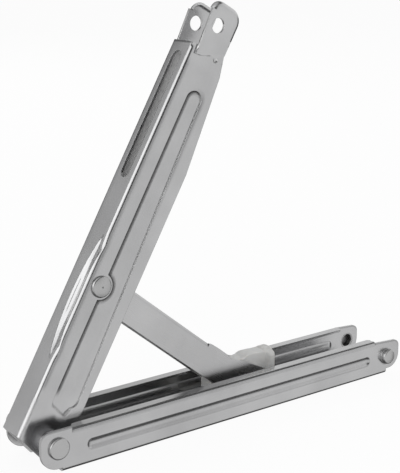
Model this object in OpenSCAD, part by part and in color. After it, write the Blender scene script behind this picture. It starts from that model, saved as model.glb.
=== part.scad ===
// Adjustable desk hinge, drawn open at its highest setting, in millimetres.
// Two pressed steel arms turn on a through rivet. A channel strut hangs from a second rivet in
// the upper arm, and its forked foot is pinned to a nylon slider that runs inside the lower arm.
// Each arm has its own frame: x runs from the pivot to the far end, y is the width and z is
// square to the arm. The origin is the middle of the lower arm's flat underside, and +Z is up.

/* [Arms] */
// Distance from the pivot to the fixing bores at the far end of each arm
arm_l = 250; // [200:1:320]
// Thickness of the steel sheet
sheet = 1.5; // [1:0.1:2]
// Outside radius of the bends between a web and its side plates
bend_r = 2.2; // [2:0.1:3]
// Angle between the arms as drawn, fully open
open_angle = 60.1; // [45:0.1:70]

/* [Lower arm] */
// Outside width of the lower arm
base_w = 39.5; // [37:0.5:46]
// Height of the lower arm over its lips
base_h = 23.9; // [22:0.1:28]
// Height of the pivot above the underside
pivot_z = 14.7; // [14:0.1:16]
// Width of each inward lip, over the side plate
lip_w = 7; // [5:0.1:7.2]
// Where the lips start, from the pivot
lip_start = 9; // [7:0.5:14]
// Length by which the lips stop short of the end bores
lip_stop = 10; // [8:0.5:16]
// Where the flat web starts, from the pivot
web_start = 2.2; // [1:0.1:6]
// Height of the end bores above the underside
end_bore_z = 12.3; // [11.5:0.1:13]
// Reach of the side plates past the pivot
heel_reach = 11.4; // [11:0.1:13]
// Reach of the front side plate past its end bore
front_ear_reach = 11.4; // [9:0.1:13]
// Reach of the back side plate past its end bore
back_ear_reach = 9.4; // [9:0.1:13]

/* [Sunk ribs of the lower arm] */
// Width of a rib across its mouth
rib_w = 6.2; // [5:0.1:7]
// Depth of a rib
rib_d = 1; // [0.6:0.1:1.3]
// Height of the ribs' centre line above the underside
rib_z = 12.1; // [10:0.1:13]
// Start of the ribs, from the pivot
rib_start = 18.3; // [16:0.1:30]
// Length by which the ribs stop short of the end bores
rib_stop = 14.8; // [14:0.1:30]

/* [Upper arm] */
// Outside width of the upper arm
arm_w = 19.5; // [18.5:0.1:20.5]
// Height of the web's outer face above the pivot
web_z = 20.45; // [20:0.05:22]
// Depth of the open edges below the pivot
edge_z = 12.3; // [11:0.1:12.6]
// Length by which the web stops short of the end bores
web_stop = 15; // [13:0.5:20]
// Start of the taper at the far end, counted back from the end bores
taper_l = 83; // [60:1:110]
// Depth of the open edges below the pivot at the small end of the taper
taper_z = 6.5; // [5:0.1:9]
// Reach of the front ear past its bore
front_tip = 13.6; // [11:0.1:14]
// Reach of the back ear past its bore
back_tip = 11.8; // [11:0.1:14]
// Height of the ears above the pivot
ear_top = 18.2; // [17.5:0.1:18.2]
// Depth of the front ear below the pivot
front_ear_low = 4; // [0:0.1:4.2]
// Depth of the back ear below the pivot
back_ear_low = 0.4; // [0:0.1:4.2]
// Height of the ear bores above the pivot
ear_bore_z = 10.2; // [9:0.1:11]
// Diameter of the fixing bores in both arms
fix_bore_d = 8.6; // [6:0.1:9]
// Outside radius of the rim rolled inward round each ear
rim_r = 3; // [2.6:0.1:3]

/* [Pressings of the upper arm] */
// Depth of the sunk side panels
panel_d = 0.9; // [0.5:0.1:0.9]
// Start of the sunk side panels, from the pivot
panel_start = 16; // [14:0.5:24]
// Length of the sunk side panels
panel_l = 196; // [150:1:198]
// Width of the slot in the web
slot_w = 8; // [5:0.1:10]
// Length of the slot in the web
slot_l = 78; // [30:1:90]
// Length by which the slot stops short of the end bores
slot_stop = 21; // [20:0.5:40]
// Distance of the middle of the hollow beside the front bend from the pivot
dent_x = 80; // [60:1:100]
// Length of that hollow
dent_l = 66; // [40:1:76]
// Width of the hollow
dent_w = 6.4; // [4:0.1:7]
// Depth of the hollow
dent_d = 1; // [0.5:0.1:1.2]

/* [Strut] */
// Distance of the strut rivet from the pivot, along the upper arm
strut_x = 90.1; // [80:0.1:100]
// Height of the strut rivet above the pivot, square to the upper arm
strut_z = 10.6; // [10.4:0.1:10.8]
// Distance between the strut's rivet and its foot pin
strut_l = 135.7; // [128:0.1:145]
// Height of the strut's side plates
strut_h = 18.1; // [16.5:0.1:18.4]
// Outside width of the strut
strut_w = 13.5; // [12.5:0.1:13.8]
// Length of the open fork at the foot
fork_l = 43.5; // [40:0.5:50]
// Height by which the fork's edges rise over the web where it ends
fork_rise = 1.3; // [0.5:0.1:1.5]
// End radius of the strut at its rivet
strut_top_r = 7; // [6:0.1:7]
// Radius of the fork below its foot pin
strut_foot_r = 7; // [6:0.1:7]
// Height of the fork's broad foot above the line of its pins
foot_rise = 16.9; // [14:0.1:17]
// Reach of the fork's broad foot past its pin
foot_reach = 13.1; // [11:0.1:13.2]

/* [Slider] */
// Height of the foot pin above the underside of the lower arm
pin_z = 12; // [12:0.1:13]
// Length of the slider ahead of its pin, towards the pivot
nose_l = 26; // [20:0.5:36]
// Length of the slider behind its pin
tail_l = 23.4; // [20:0.1:24]
// Length of the broad domed block at the tail
block_l = 5.3; // [4:0.1:5.4]
// Height of the domed block above the pivot
block_z = 18.5; // [16:0.1:18.6]
// Height of the tongue above the pivot, next to the block
tongue_z = 17.2; // [15:0.1:17.4]
// Height of the tongue's nose above the pivot
nose_z = 9.4; // [8:0.1:11]
// Length of the two guides beside the block
guide_l = 17.5; // [12:0.5:24]
// Height of the guides above the underside
guide_z = 16.8; // [10:0.1:17]
// Thickness of the slider's sole
sole_t = 2.7; // [2:0.1:2.8]
// Running gap between the slider and the steel beside it
slide_gap = 0.35; // [0.3:0.05:0.5]
// Length of the leaf spring in the slider's sole
spring_l = 22; // [16:0.5:24]
// Width of the leaf spring
spring_w = 6; // [4:0.1:7]
// Thickness of the leaf spring
spring_t = 0.5; // [0.4:0.05:0.6]
// Bow of the leaf spring
spring_bow = 0.75; // [0.5:0.05:0.8]
// Start of the leaf spring, from the foot pin
spring_x = -11; // [-20:0.5:-5]

/* [Rivets] */
// Diameter of the pivot rivet's shank
pivot_d = 8; // [6:0.1:9]
// Diameter of the pivot rivet's heads
pivot_head_d = 12.6; // [11.5:0.1:14]
// Height of the pivot rivet's heads
pivot_head_h = 1.8; // [1.2:0.1:2.4]
// Outside diameter of the spacers on the pivot rivet
spacer_d = 14; // [12:0.1:16]
// Diameter of the strut rivet and of the foot pin
strut_rivet_d = 6; // [5:0.1:7]
// Diameter of the strut rivet's domed heads
strut_head_d = 10.8; // [9.5:0.1:12]
// Height of the strut rivet's domed heads
strut_head_h = 2.2; // [1.5:0.1:2.4]
// Diameter of the flat land round the strut rivet
land_d = 15.2; // [14:0.1:16]
// Diameter of the foot pin's heads
pin_head_d = 9; // [8:0.1:9]
// Height of the foot pin's heads
pin_head_h = 0.8; // [0.5:0.1:0.9]

/* [End bushes] */
// Outside diameter of the closed end bushes
bush_d = 11.6; // [11:0.1:12]
// How far the bushes stand out from the side plates
bush_out = 4.7; // [3:0.1:6]
// Diameter of the collar at the foot of each bush
collar_d = 12.8; // [12.2:0.1:14]
// Thickness of that collar
collar_t = 1.1; // [0.8:0.1:1.6]

/* [Fits] */
// Radial gap between a shank and the bore it passes through
shank_gap = 0.05; // [0.02:0.01:0.1]
// Side gap left beside each spacer and washer
side_gap = 0.15; // [0.1:0.01:0.3]

/* [Hidden] */
$fn = 96;

steel = "silver";
nylon = "whitesmoke";
eps = 0.01;

// Half widths, from the middle plane outward
base_out = base_w / 2;
base_in = base_out - sheet;
lip_in = base_out - lip_w;
arm_out = arm_w / 2;
arm_in = arm_out - sheet;
ear_out = arm_out + sheet;
strut_out = strut_w / 2;
strut_in = strut_out - sheet;

// The lower arm, along its length from the pivot
web_end = arm_l + 0.4;
lip_end = arm_l - lip_stop;
pivot_x = -(web_start + web_end) / 2;
side_foot = bend_r;
left_top = pivot_z + 10.6;
right_top = base_h - 0.7;

// The strut, worked out from where its two ends lie
rivet_x = strut_x * cos(open_angle) - strut_z * sin(open_angle);
rivet_z = pivot_z + strut_x * sin(open_angle) + strut_z * cos(open_angle);
strut_angle = asin((rivet_z - pin_z) / strut_l);
pin_x = rivet_x + strut_l * cos(strut_angle);
fork_x = strut_l - fork_l;

// Corners of the upper arm's ears
tip_r = 6.5;
front_low_r = 8;
back_low_r = 5;

// Round stretch of an outline about a centre, from one angle to another
function arc(centre, r, from, to, steps = 10) =
    [for (i = [0:steps]) centre + r * [cos(from + (to - from) * i / steps), sin(from + (to - from) * i / steps)]];
// Radius of a circle that a chord of half width w cuts to a depth d
function chord_r(w, d) = (w * w + d * d) / (2 * d);

// Frames of the arms and the strut
module in_base() {
    translate([pivot_x, 0, 0]) children();
}
module in_arm() {
    translate([pivot_x, 0, pivot_z]) rotate([0, -open_angle, 0]) children();
}
module in_strut() {
    translate([pivot_x + rivet_x, 0, rivet_z]) rotate([0, strut_angle, 0]) children();
}
module in_slider() {
    translate([pivot_x + pin_x, 0, 0]) children();
}

// Stands a flat outline drawn in x and z up between two values of y
module slab(y0, y1) {
    translate([0, y1, 0]) rotate([90, 0, 0]) linear_extrude(height = y1 - y0) children();
}
// Runs a section drawn in y and z along x
module run(x0, x1) {
    translate([x0, 0, 0]) rotate([90, 0, 90]) linear_extrude(height = x1 - x0) children();
}
// Makes the front copy of something drawn on the back side
module both_sides() {
    children();
    mirror([0, 1, 0]) children();
}
// A round shank or hole across the width, centred at x and z
module across(x, z, d, y0, y1) {
    translate([x, y1, z]) rotate([90, 0, 0]) cylinder(d = d, h = y1 - y0);
}
// A tube across the width
module tube_across(x, z, d_out, d_in, y0, y1) {
    difference() {
        across(x, z, d_out, y0, y1);
        across(x, z, d_in, y0 - 1, y1 + 1);
    }
}
// Trough section with its closed side at z = 0 and round lower corners
module trough_2d(half, top, r) {
    translate([-half, r]) square([2 * half, top - r]);
    translate([-half + r, 0]) square([2 * (half - r), top]);
    for (s = [-1, 1]) translate([s * (half - r), r]) circle(r = r);
}
// Wall of such a trough, one sheet thick
module trough_wall_2d(half, top) {
    difference() {
        trough_2d(half, top, bend_r);
        translate([0, sheet]) trough_2d(half - sheet, top, bend_r - sheet);
    }
}

// Side plate of the lower arm, seen from the front
module base_side_2d(reach) {
    far = arm_l + reach;
    low = end_bore_z - 9;
    heel_r = heel_reach - 0.4;
    // Plain length under the lips
    translate([web_start, side_foot]) square([web_end - web_start, base_h - bend_r - side_foot]);
    // Round heel about the pivot
    translate([-0.4, pivot_z - 1.1]) circle(r = heel_r);
    translate([-heel_reach, pivot_z - 1.1]) square([heel_reach, left_top - 5.5 - pivot_z + 1.1]);
    translate([-heel_reach + 5.5, left_top - 5.5]) circle(r = 5.5);
    translate([-heel_reach + 5.5, pivot_z]) square([heel_reach - 5.5 + lip_start, left_top - pivot_z]);
    translate([-0.4, pivot_z - 1.1 - heel_r]) square([web_start + 2, heel_r]);
    // Ear at the far end, a little lower towards its tip
    polygon([[lip_end, low], [far - 9, low], [far, low + 9], [far, right_top - 5.6], [far - 3.6, right_top - 1.2],
        [lip_end, right_top]]);
    translate([far - 4.5, right_top - 5.7]) circle(r = 4.5);
    translate([far - 9, low + 9]) circle(r = 9);
}

// Lip and its bend on the back side
module base_lip() {
    top = base_h;
    run(lip_start, lip_end) intersection() {
        translate([base_out - bend_r, top - bend_r]) difference() {
            circle(r = bend_r);
            circle(r = bend_r - sheet);
        }
        translate([base_out - bend_r, top - bend_r]) square([bend_r, bend_r]);
    }
    translate([0, 0, top - sheet]) linear_extrude(height = sheet) polygon([
        [lip_start, base_out - bend_r], [lip_end, base_out - bend_r],
        [lip_end - 0.5, base_out - bend_r - 1], [lip_end, lip_in + 1.5], [lip_end - 1.5, lip_in],
        [lip_start + 3.5, lip_in], [lip_start + 0.6, base_out - bend_r - 1]]);
}

// Long round-ended bar: cuts a rib, or at one sheet more in radius backs it
module rib_bar(grow) {
    half = rib_w / 2;
    r = chord_r(half, rib_d);
    x0 = rib_start + half;
    x1 = arm_l - rib_stop - half;
    translate([0, base_out - rib_d + r, rib_z]) {
        translate([x0, 0, 0]) rotate([0, 90, 0]) cylinder(r = r + grow, h = x1 - x0);
        for (x = [x0, x1]) translate([x, 0, 0]) sphere(r = r + grow);
    }
}

module base_channel() {
    color(steel) in_base() difference() {
        union() {
            run(web_start, web_end) trough_wall_2d(base_out, 6);
            slab(base_in, base_out) base_side_2d(back_ear_reach);
            slab(-base_out, -base_in) base_side_2d(front_ear_reach);
            both_sides() {
                base_lip();
                intersection() {
                    rib_bar(sheet);
                    translate([rib_start - 6, base_in - rib_d - 1, rib_z - 9])
                        cube([arm_l, rib_d + 1 + sheet / 2, 18]);
                }
            }
        }
        both_sides() rib_bar(0);
        across(0, pivot_z, pivot_d + 2 * shank_gap, -base_w, base_w);
        across(arm_l, end_bore_z, bush_d - 1.4 + 2 * shank_gap, -base_w, base_w);
    }
}

// Sunk panel of the upper arm: an outline that narrows towards the pivot end of its lower edge
module panel_2d() {
    x0 = panel_start;
    x1 = x0 + panel_l;
    top = 9.4;
    difference() {
        polygon(concat(
            arc([x0 + 7.4, top - 4.6], 4.6, 90, 168, 6),
            [[x0, -1.6]],
            arc([x0 + 10.4, -1.9], 5.4, 200, 272, 6),
            arc([x1 - 5.4, top - 5.4], 5.4, -88, 90, 16)));
        translate([strut_x, strut_z]) circle(d = land_d);
    }
}

// Side plate of the upper arm, up to the tangent of its top bend
module arm_side_2d() {
    top = web_z - bend_r;
    end = arm_l - web_stop;
    difference() {
        union() {
            circle(r = edge_z);
            translate([-edge_z, 0]) square([edge_z, top]);
            polygon([[0, -edge_z], [arm_l - taper_l, -edge_z], [arm_l - 25, -taper_z],
                [arm_l - 12, 1 - front_ear_low], [arm_l - 6, 1 - front_ear_low], [end + 1, top - 8], [end, top], [0, top]]);
        }
        arm_end_cut_2d();
    }
}
// What is cut from the pivot end of the upper arm along a slanted line
module arm_end_cut_2d() {
    lean = 0.373;
    polygon([[-2.7 - lean * (web_z + 30), -30], [-2.7 + lean * 2, web_z + 2], [-40, web_z + 2], [-40, -30]]);
}

// Flat of an ear, inside its rolled rim. Its top edge climbs a little towards the tip
module ear_2d(low, tip, r) {
    polygon([[arm_l - 20.2, ear_top - 1.9], [arm_l - 19.4, 12], [arm_l - 13, 1.6 - low], [arm_l - 4, 1.6 - low],
        [arm_l - 4, rim_r - low], [tip - r, rim_r - low], [tip - r, r - low], [tip - rim_r, r - low],
        [tip - rim_r, ear_top - tip_r], [tip - tip_r, ear_top - tip_r], [tip - tip_r, ear_top]]);
    translate([tip - r, r - low]) circle(r = r - rim_r);
    translate([tip - tip_r, ear_top - tip_r]) circle(r = tip_r - rim_r);
}
// Section of the rolled rim: from the flat of the ear round to the inside
module rim_2d(r) {
    intersection() {
        translate([r, 0]) difference() {
            circle(r = rim_r);
            circle(r = rim_r - sheet);
        }
        translate([r, 0]) square([rim_r, rim_r]);
    }
}
// Rolled rim on the back side, round the open edge and the tip of an ear
module ear_rim(low, tip, r) {
    translate([0, ear_out - rim_r, 0]) rotate([-90, 0, 0]) {
        translate([tip - r, low - r, 0]) rotate_extrude(angle = 90) rim_2d(r - rim_r);
        translate([tip - tip_r, tip_r - ear_top, 0]) rotate([0, 0, -90]) rotate_extrude(angle = 90)
            rim_2d(tip_r - rim_r);
    }
    // Along the tip
    translate([tip - rim_r, ear_out - rim_r, r - low]) linear_extrude(height = ear_top - tip_r + low - r)
        rim_2d(0);
    // Along the open edge
    translate([arm_l - 4, ear_out - rim_r, rim_r - low]) rotate([0, 90, 0])
        linear_extrude(height = tip - arm_l + 4 - r) rim_2d(0);
}
module ear(low, tip, r) {
    slab(arm_out - eps, ear_out) ear_2d(low, tip, r);
    ear_rim(low, tip, r);
}

// Curved bar that presses the hollow beside the front bend
module dent_bar(grow) {
    half = dent_w / 2;
    r = chord_r(half, dent_d);
    sweep = chord_r(dent_l / 2, dent_d);
    reach = asin(min(1, (dent_l / 2 + 6) / sweep));
    translate([dent_x, -(arm_out - bend_r - half + 0.6), web_z - dent_d + sweep])
        rotate([90, 0, 0]) rotate([0, 0, -90 - reach])
            rotate_extrude(angle = 2 * reach) translate([sweep - r, 0]) circle(r = r + grow);
}

module upper_channel() {
    end = arm_l - web_stop;
    slot_end = arm_l - slot_stop;
    color(steel) in_arm() difference() {
        union() {
            // Web and bends
            difference() {
                translate([0, 0, web_z]) mirror([0, 0, 1]) run(-3, end) trough_wall_2d(arm_out, bend_r + 1);
                slab(-arm_w, arm_w) arm_end_cut_2d();
            }
            both_sides() {
                slab(arm_in, arm_out) arm_side_2d();
                slab(arm_in - panel_d, arm_in + eps) panel_2d();
            }
            ear(back_ear_low, arm_l + back_tip, back_low_r);
            mirror([0, 1, 0]) ear(front_ear_low, arm_l + front_tip, front_low_r);
            intersection() {
                dent_bar(sheet);
                translate([dent_x - dent_l, -arm_out + 1, web_z - sheet - dent_d - 1])
                    cube([2 * dent_l, arm_w / 2 + 1, dent_d + sheet]);
            }
        }
        both_sides() {
            slab(arm_out - panel_d, arm_out + 1) panel_2d();
            translate([arm_l - 17.4, arm_out + 1.2, 1.3]) sphere(r = 2);
        }
        dent_bar(0);
        // Slot in the web
        translate([0, 0, web_z - sheet - 1]) linear_extrude(height = sheet + 2) {
            for (x = [slot_end - slot_l + slot_w / 2, slot_end - slot_w / 2]) translate([x, 0]) circle(d = slot_w);
            translate([slot_end - slot_l + slot_w / 2, -slot_w / 2]) square([slot_l - slot_w, slot_w]);
        }
        across(0, 0, pivot_d + 2 * shank_gap, -arm_w, arm_w);
        across(strut_x, strut_z, strut_rivet_d + 2 * shank_gap, -arm_w, arm_w);
        across(arm_l, ear_bore_z, fix_bore_d, -arm_w, arm_w);
    }
}

// Side plate of the strut: narrower round its rivet, full height along its length, with edges that
// rise where the web ends and a foot that broadens upward over the slider
module strut_side_2d() {
    half = strut_h / 2;
    end_r = 7.2;
    crest = half + fork_rise;
    circle(r = strut_top_r);
    translate([strut_l, 0]) circle(r = strut_foot_r);
    translate([strut_l + foot_reach - end_r, 7.7]) circle(r = end_r);
    polygon([[0, strut_top_r], [14, half], [fork_x - 1, half], [fork_x + 2, crest - 0.3], [fork_x + 8, crest],
        [fork_x + 17, crest], [strut_l - 21, half + 0.5], [strut_l - 9, foot_rise - 2.8], [strut_l - 2, foot_rise - 1.6],
        [strut_l + foot_reach - 8, foot_rise], [strut_l + foot_reach, 8], [strut_l + foot_reach - end_r, 2],
        [strut_l + 1, -strut_foot_r], [strut_l, -strut_foot_r], [strut_l - 22, -half], [14, -half], [0, -strut_top_r]]);
}

module strut() {
    half = strut_h / 2;
    color(steel) in_strut() difference() {
        union() {
            // Top web and its bends
            translate([0, 0, half]) mirror([0, 0, 1]) run(13, fork_x) trough_wall_2d(strut_out, bend_r + 1);
            both_sides() slab(strut_in, strut_out) difference() {
                strut_side_2d();
                translate([13, half - bend_r]) square([fork_x - 13, bend_r + 3]);
            }
        }
        across(0, 0, strut_rivet_d + 2 * shank_gap, -strut_w, strut_w);
        across(strut_l, 0, strut_rivet_d + 2 * shank_gap, -strut_w, strut_w);
    }
}

// Tongue of the slider, between the plates of the strut's fork
module tongue_2d() {
    floor_z = sheet + slide_gap;
    polygon([[-nose_l, floor_z], [-nose_l, pivot_z + nose_z - 2], [-nose_l + 1.2, pivot_z + nose_z - 0.4],
        [-nose_l + 3, pivot_z + nose_z], [-6, pivot_z + tongue_z - 1.5], [0, pivot_z + tongue_z - 1],
        [2.4, pivot_z + tongue_z + 0.2], [4.5, pivot_z + tongue_z + 0.6], [8, pivot_z + tongue_z + 0.4],
        [tail_l - block_l + 1, pivot_z + tongue_z], [tail_l - 1, pivot_z + tongue_z], [tail_l - 1, floor_z]]);
}
// Domed block at the tail, seen along the arm: a round crown over upright sides
module block_2d(half) {
    top = pivot_z + block_z;
    crown = chord_r(half, 2.6);
    shoulder = 3.4;
    intersection() {
        translate([-half, sheet + slide_gap]) square([2 * half, top]);
        translate([0, top - crown]) circle(r = crown);
        union() {
            square([4 * half, 2 * (top - shoulder - 1.8)], center = true);
            for (s = [-1, 1]) translate([s * (half - shoulder), top - shoulder - 1.8]) circle(r = shoulder);
            translate([-half + shoulder, 0]) square([2 * (half - shoulder), top]);
        }
    }
}
// Plan of the domed block: round where it meets the tongue, nearly square at the tail
module block_plan_2d(half) {
    lead = 3;
    corner = 1.6;
    x0 = tail_l - block_l;
    translate([x0, -half + lead]) square([block_l, 2 * (half - lead)]);
    translate([x0 + lead, -half + corner]) square([block_l - lead, 2 * (half - corner)]);
    translate([x0 + lead, -half]) square([block_l - lead - corner, 2 * half]);
    for (s = [-1, 1]) {
        translate([x0 + lead, s * (half - lead)]) circle(r = lead);
        translate([tail_l - corner, s * (half - corner)]) circle(r = corner);
    }
}

module slider_block() {
    floor_z = sheet + slide_gap;
    half = arm_in - slide_gap;
    tongue = strut_in - slide_gap;
    sole = base_in - bend_r + sheet - slide_gap;
    guide_in = ear_out + slide_gap;
    guide_out = base_in - rib_d - slide_gap;
    color(nylon) in_slider() difference() {
        union() {
            slab(-tongue, tongue) tongue_2d();
            intersection() {
                run(tail_l - block_l, tail_l) block_2d(half);
                linear_extrude(height = 3 * base_h) block_plan_2d(half);
            }
            // Sole on the web of the lower arm
            translate([-nose_l, -sole, floor_z]) cube([nose_l + tail_l, 2 * sole, sole_t]);
            // Guides beside the block
            both_sides() translate([tail_l - guide_l, guide_in, floor_z])
                cube([guide_l, guide_out - guide_in, guide_z - floor_z]);
        }
        across(0, pin_z, strut_rivet_d + 2 * shank_gap, -base_w, base_w);
        // Pocket for the spring, open to the web below
        translate([spring_x - 1, -spring_w / 2 - 0.3, floor_z - 1])
            cube([spring_l + 2, spring_w + 0.6, spring_t + spring_bow + 1.35]);
    }
}

// Bowed leaf in the slider's sole, which presses on the web and holds the setting
module friction_spring() {
    r = chord_r(spring_l / 2, spring_bow);
    mid = spring_x + spring_l / 2;
    low = sheet + 0.1;
    color(steel) in_slider() intersection() {
        difference() {
            across(mid, low + r + spring_t, 2 * (r + spring_t), -spring_w / 2, spring_w / 2);
            across(mid, low + r + spring_t, 2 * r, -spring_w, spring_w);
        }
        translate([spring_x, -spring_w, sheet]) cube([spring_l, 2 * spring_w, spring_t + 2 * spring_bow + 1]);
    }
}

// Flat head with a bevelled rim, standing out from y = 0
module flat_head(d, h) {
    rotate([-90, 0, 0]) {
        cylinder(d = d, h = h * 0.55);
        translate([0, 0, h * 0.55]) cylinder(d1 = d, d2 = d - 2 * h, h = h * 0.45);
    }
}
// Domed head standing out from y = 0, with a short upright rim
module domed_head(d, h) {
    rim = h * 0.3;
    r = chord_r(d / 2, h - rim);
    rotate([-90, 0, 0]) {
        cylinder(d = d, h = rim);
        intersection() {
            translate([0, 0, h - r]) sphere(r = r);
            translate([0, 0, rim]) cylinder(d = d, h = h);
        }
    }
}

module pivot_rivet() {
    color(steel) in_base() {
        across(0, pivot_z, pivot_d, -base_out, base_out + sheet);
        translate([0, base_out + sheet, pivot_z]) flat_head(pivot_head_d - 1.4, pivot_head_h);
        mirror([0, 1, 0]) translate([0, base_out, pivot_z]) flat_head(pivot_head_d, pivot_head_h);
    }
}
module pivot_washer() {
    color(steel) in_base()
        tube_across(0, pivot_z, pivot_head_d + 2.4, pivot_d + 2 * shank_gap, base_out, base_out + sheet);
}
module pivot_sleeve() {
    reach = arm_in - side_gap;
    color(steel) in_base() tube_across(0, pivot_z, spacer_d - 2, pivot_d + 2 * shank_gap, -reach, reach);
}
module pivot_spacer() {
    tube_across(0, pivot_z, spacer_d, pivot_d + 2 * shank_gap, arm_out + side_gap, base_in - side_gap);
}
module back_pivot_spacer() {
    color(steel) in_base() pivot_spacer();
}
module front_pivot_spacer() {
    color(steel) in_base() mirror([0, 1, 0]) pivot_spacer();
}

module strut_rivet() {
    color(steel) in_arm() {
        across(strut_x, strut_z, strut_rivet_d, -arm_out, arm_out);
        both_sides() translate([strut_x, arm_out, strut_z]) domed_head(strut_head_d, strut_head_h);
    }
}
module strut_sleeve() {
    reach = strut_in - side_gap;
    color(steel) in_strut() tube_across(0, 0, strut_rivet_d + 3, strut_rivet_d + 2 * shank_gap, -reach, reach);
}
module strut_washer() {
    tube_across(strut_x, strut_z, land_d - 2.2, strut_rivet_d + 2 * shank_gap,
        strut_out + side_gap, arm_in - side_gap);
}
module back_strut_washer() {
    color(nylon) in_arm() strut_washer();
}
module front_strut_washer() {
    color(nylon) in_arm() mirror([0, 1, 0]) strut_washer();
}

module foot_pin() {
    color(steel) in_strut() {
        across(strut_l, 0, strut_rivet_d, -strut_out, strut_out);
        both_sides() translate([strut_l, strut_out, 0]) flat_head(pin_head_d, pin_head_h);
    }
}

// Closed bush pressed into an ear of the lower arm, with its bore open to the inside
module end_bush() {
    dome = 1.4;
    r = chord_r(bush_d / 2, dome);
    difference() {
        union() {
            across(arm_l, end_bore_z, bush_d - 1.4, base_in, base_out + 0.5);
            across(arm_l, end_bore_z, collar_d, base_out, base_out + collar_t);
            across(arm_l, end_bore_z, bush_d, base_out + collar_t - eps, base_out + bush_out - dome);
            intersection() {
                translate([arm_l, base_out + bush_out - r, end_bore_z]) sphere(r = r);
                across(arm_l, end_bore_z, bush_d, base_out + bush_out - dome - eps, base_out + bush_out + 1);
            }
        }
        across(arm_l, end_bore_z, fix_bore_d, base_in - 1, base_out + bush_out - dome - 0.6);
    }
}
module back_end_bush() {
    color(steel) in_base() end_bush();
}
module front_end_bush() {
    color(steel) in_base() mirror([0, 1, 0]) end_bush();
}

base_channel();
upper_channel();
strut();
slider_block();
friction_spring();
pivot_rivet();
pivot_washer();
pivot_sleeve();
front_pivot_spacer();
back_pivot_spacer();
strut_rivet();
strut_sleeve();
front_strut_washer();
back_strut_washer();
foot_pin();
front_end_bush();
back_end_bush();
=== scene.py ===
# %% [markdown]
# An adjustable desk hinge: a lipped channel that lies on the desk frame, an upper channel that
# folds on a rivet, and a strut whose foot rides on a nylon slider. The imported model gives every
# rigid form and says what turns on what. This script adds finishes, finer rivets and bushes, the
# whole hollow of the upper arm, a moulded slider, a camera and light.

# %% Load the frame
import math

import bmesh
import bpy
from mathutils import Matrix, Vector


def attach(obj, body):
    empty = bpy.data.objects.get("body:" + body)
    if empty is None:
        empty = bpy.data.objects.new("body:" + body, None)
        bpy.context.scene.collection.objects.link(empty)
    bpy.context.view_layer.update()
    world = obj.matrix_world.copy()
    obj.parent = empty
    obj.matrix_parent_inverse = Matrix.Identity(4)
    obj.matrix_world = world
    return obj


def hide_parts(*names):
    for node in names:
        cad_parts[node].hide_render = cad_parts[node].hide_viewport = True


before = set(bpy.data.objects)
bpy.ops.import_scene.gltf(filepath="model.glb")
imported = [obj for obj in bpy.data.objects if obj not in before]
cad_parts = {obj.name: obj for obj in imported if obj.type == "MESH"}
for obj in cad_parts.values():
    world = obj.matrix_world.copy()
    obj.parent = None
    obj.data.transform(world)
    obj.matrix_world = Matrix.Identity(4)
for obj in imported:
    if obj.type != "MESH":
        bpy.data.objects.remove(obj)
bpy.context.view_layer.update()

# %% [markdown]
# The upper arm and the strut lean, so finishes and pressings on them are easier to give along
# the arm and square to it than along x and z. A few directions are worked out once for all.

# %% Directions of the hinge
MM = 0.001
TOUCHING, HAIR = 1e-6, 1e-7  # distances that count as none, in metres
OPEN_ANGLE = math.radians(60.1)   # between the arms
STRUT_ANGLE = math.radians(39.4)  # of the strut below the level
PIVOT_PLACE = (-126.3, 0.0, 14.7)  # middle of the rivet that joins the arms, in mm
PIVOT = Vector(PIVOT_PLACE) * MM
ALONG = Vector((math.cos(OPEN_ANGLE), 0.0, math.sin(OPEN_ANGLE)))  # up the upper arm
OUT = Vector((-math.sin(OPEN_ANGLE), 0.0, math.cos(OPEN_ANGLE)))   # out of its web
WIDTHWAYS = (0.0, 1.0, 0.0)  # from the front plates to the back ones
print("upper arm points along", [round(v, 3) for v in ALONG])

# %% [markdown]
# The camera stands left of the hinge and a little above it, with a long lens, as for a
# catalogue. It could be placed by hand in the viewport. Here its axes are worked out from the two
# angles of its view, because two angles, a roll and a distance can be fitted one by one.

# %% Camera
AZIMUTH, ELEVATION, ROLL = (math.radians(v) for v in (36.33, 14.9, 0.18))
TARGET = Vector((-15.44, 0.0, 112.73)) * MM
DISTANCE = 706.91 * MM
LENS = 90.93


def aim_camera():
    """Puts the camera at its distance from the target, looking along the two angles."""
    level = math.cos(ELEVATION)
    look = Vector((math.sin(AZIMUTH) * level, math.cos(AZIMUTH) * level, -math.sin(ELEVATION)))
    right = Vector((math.cos(AZIMUTH), -math.sin(AZIMUTH), 0.0))
    down = look.cross(right)
    across = right * math.cos(ROLL) + down * math.sin(ROLL)
    up = right * math.sin(ROLL) - down * math.cos(ROLL)
    axes = Matrix((across, up, -look)).transposed().to_4x4()
    axes.translation = TARGET - look * DISTANCE
    camera = bpy.data.objects.new("camera", bpy.data.cameras.new("camera"))
    camera.data.lens, camera.data.clip_start = LENS, 10 * MM
    camera.matrix_world = axes
    bpy.context.scene.collection.objects.link(camera)
    bpy.context.scene.camera = camera
    return camera


print("camera at", [round(v, 3) for v in aim_camera().location])

# %% [markdown]
# Every finish below is a tree of nodes. Four small helpers keep the trees short to read: one adds
# a node, one writes a grey, one fills a colour ramp and one sets a range.


# %% Helpers for node trees
def add(tree, kind, x=0, y=0, **values):
    """Adds a node, sets its named properties, and returns it."""
    node = tree.nodes.new(kind)
    node.location = (x, y)
    for name, value in values.items():
        setattr(node, name, value)
    return node


def grey(value):
    return (value, value, value, 1)


def ramp_stops(node, stops):
    """Gives a colour ramp its stops, each a position and a grey or a colour."""
    ramp = node.color_ramp
    while len(ramp.elements) > 1:
        ramp.elements.remove(ramp.elements[-1])
    for i, (place, value) in enumerate(stops):
        element = ramp.elements[0] if i == 0 else ramp.elements.new(place)
        element.position = place
        element.color = (*value, 1) if isinstance(value, tuple) else grey(value)


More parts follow.
